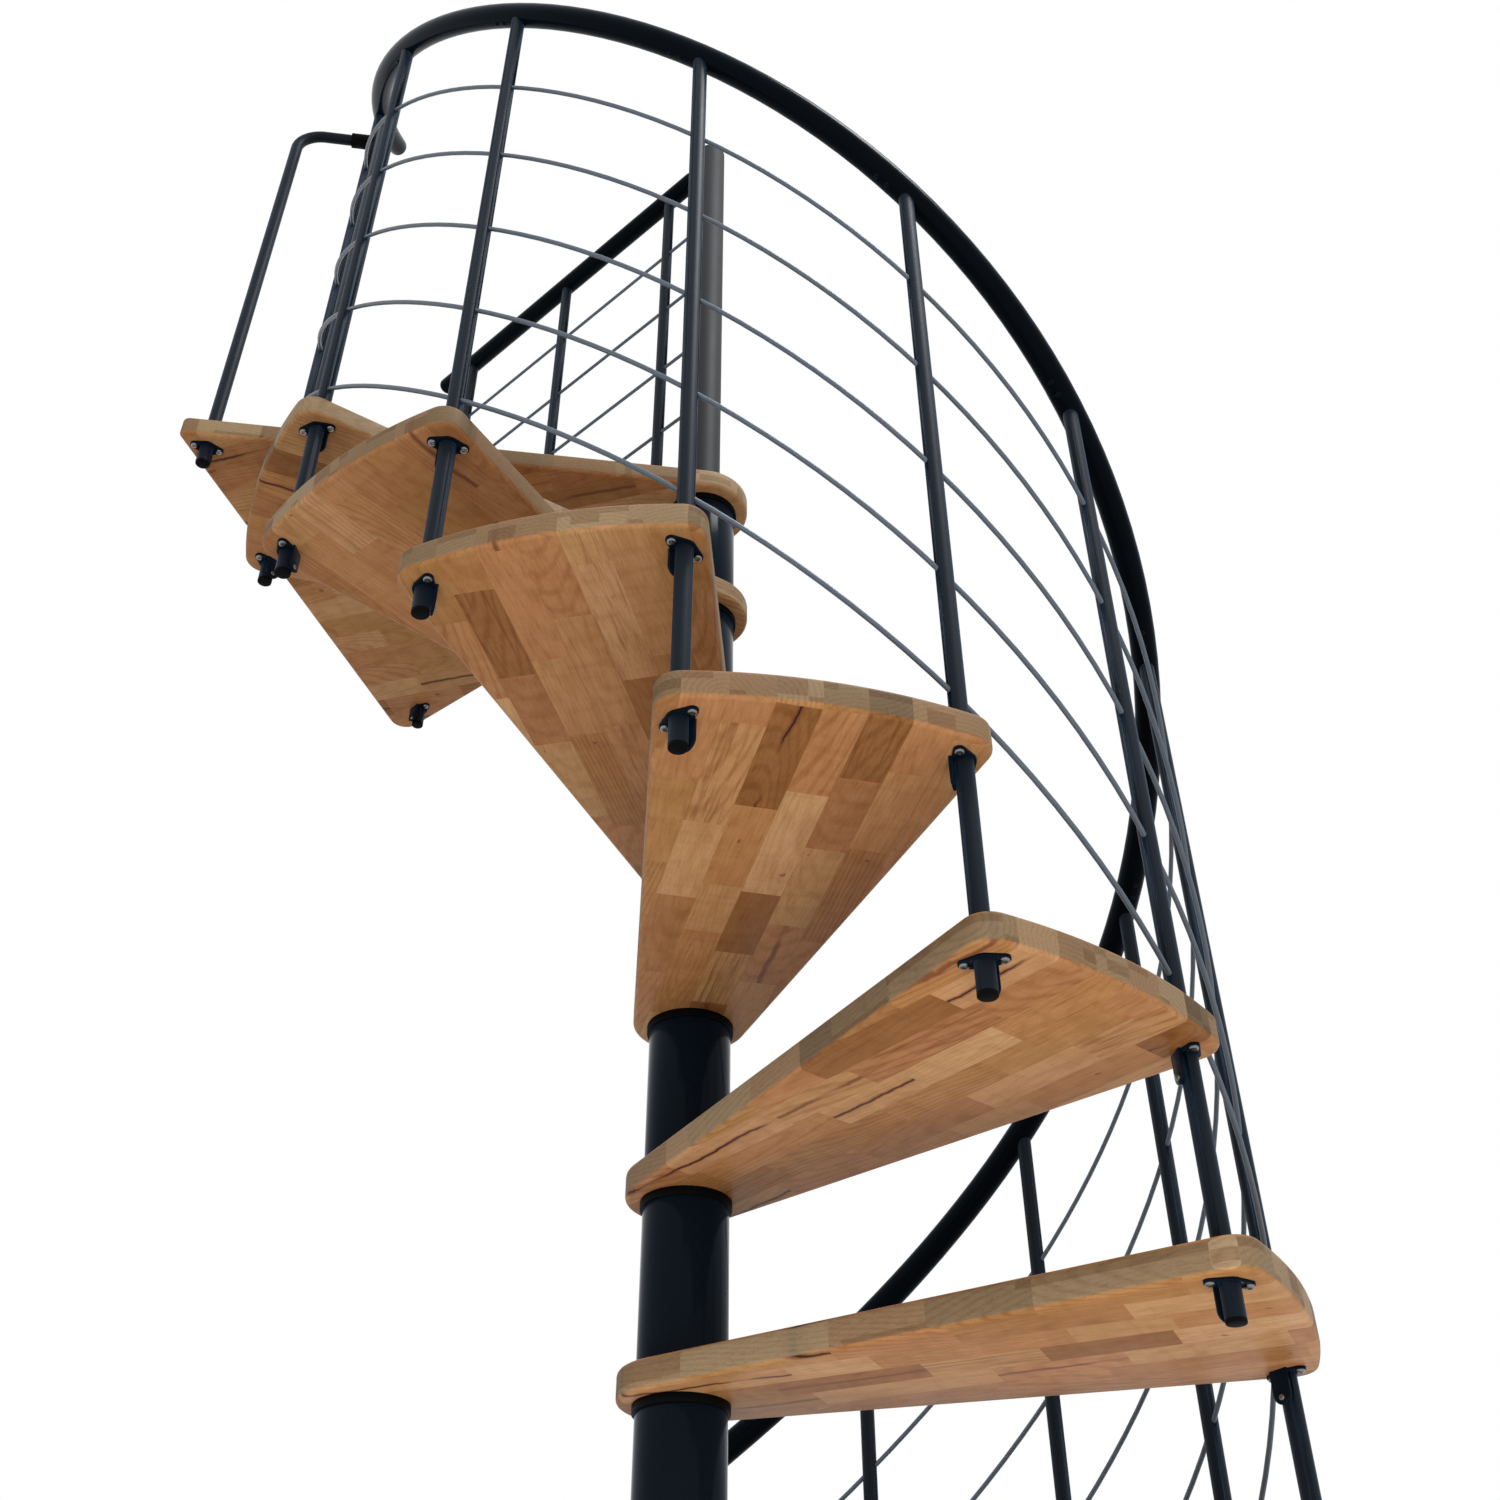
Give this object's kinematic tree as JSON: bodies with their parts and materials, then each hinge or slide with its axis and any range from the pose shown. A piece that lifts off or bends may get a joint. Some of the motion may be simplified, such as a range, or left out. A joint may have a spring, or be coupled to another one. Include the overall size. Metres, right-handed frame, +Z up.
{
  "type": "spiral staircase",
  "caption": "Spiral staircase with laminated wooden treads and landing on a black tube column, tube balusters, helical infill rods and handrail.",
  "frame": {"origin": "centre of the base plate's underside, on the column axis", "axes": "+Z up along the column, -X out over the landing's straight outer edge"},
  "size_m": [1.4168, 1.34, 3.7653],
  "materials": {
    "wood": "satin",
    "black": "gloss",
    "rail": "satin",
    "rod": "satin"
  },
  "bodies": {
    "root": {"base_plate": "black", "centre_pole": "black", "pole_cap": "black", "column_tubes": "black", "column_collars": "black", "tread_01": "wood", "tread_02": "wood", "tread_03": "wood", "tread_04": "wood", "tread_05": "wood", "tread_06": "wood", "tread_07": "wood", "tread_08": "wood", "tread_09": "wood", "tread_10": "wood", "tread_11": "wood", "landing": "wood", "baluster_01": "black", "baluster_02": "black", "baluster_03": "black", "baluster_04": "black", "baluster_05": "black", "baluster_06": "black", "baluster_07": "black", "baluster_08": "black", "baluster_09": "black", "baluster_10": "black", "baluster_11": "black", "baluster_12": "black", "baluster_plugs": "black", "tread_brackets": "black", "handrail": "rail", "infill_rod_01": "rod", "infill_rod_02": "rod", "infill_rod_03": "rod", "infill_rod_04": "rod", "infill_rod_05": "rod", "landing_posts": "black", "landing_plugs": "black", "landing_brackets": "black", "landing_handrail": "rail", "landing_rods": "rod", "exit_post": "black", "exit_sleeve": "black"}
  },
  "joints": []
}
